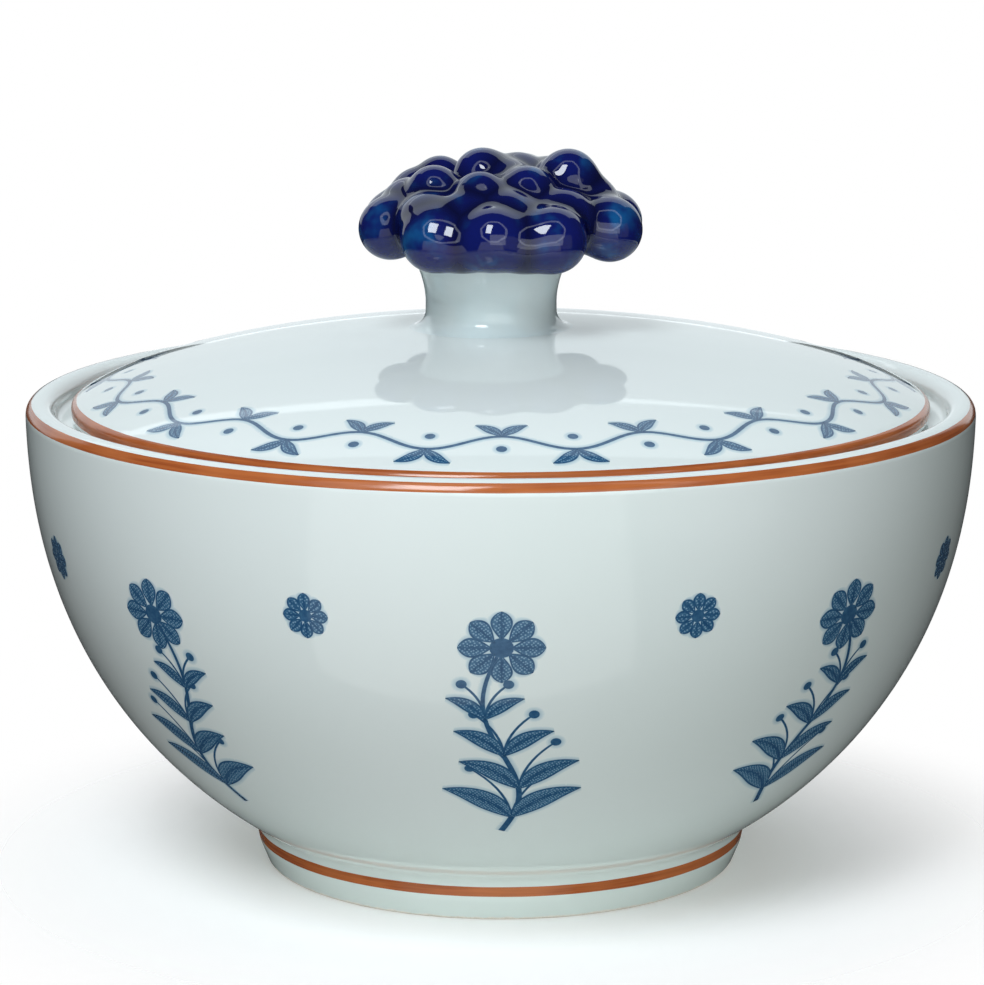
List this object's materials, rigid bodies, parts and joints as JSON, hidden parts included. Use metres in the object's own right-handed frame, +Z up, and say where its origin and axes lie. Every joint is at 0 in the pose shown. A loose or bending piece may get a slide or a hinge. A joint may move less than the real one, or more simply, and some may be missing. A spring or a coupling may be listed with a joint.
{
  "type": "sugar bowl",
  "caption": "Round porcelain sugar bowl on a foot ring, with a recessed domed lid that lifts off by a knob shaped as a cluster of berries.",
  "frame": {"origin": "centre of the foot's base, on the surface that the bowl stands on", "axes": "+Z up along the axis of the turned pieces and the way the lid lifts; -Y towards the side with the main floral spray; +X to its right"},
  "size_m": [0.11, 0.11, 0.0841],
  "materials": {
    "bowl_glaze": "glossy transparent glaze on pale porcelain with a blue underglaze print and fired orange-brown bands",
    "lid_glaze": "glossy transparent glaze on pale porcelain with a blue underglaze border and a fired orange-brown band",
    "neck_glaze": "glossy pale blue-green glaze",
    "cobalt_glaze": "thick glossy cobalt-blue glaze"
  },
  "bodies": {
    "bowl": {"bowl_body": "bowl_glaze"},
    "lid": {"lid_shell": "lid_glaze", "knob_neck": "neck_glaze", "knob_berries": "cobalt_glaze"}
  },
  "joints": [
    {"name": "lid_lift", "type": "slide", "parent": "bowl", "child": "lid", "axis": [0, 0, 1], "range_m": [0, 0.08]}
  ]
}
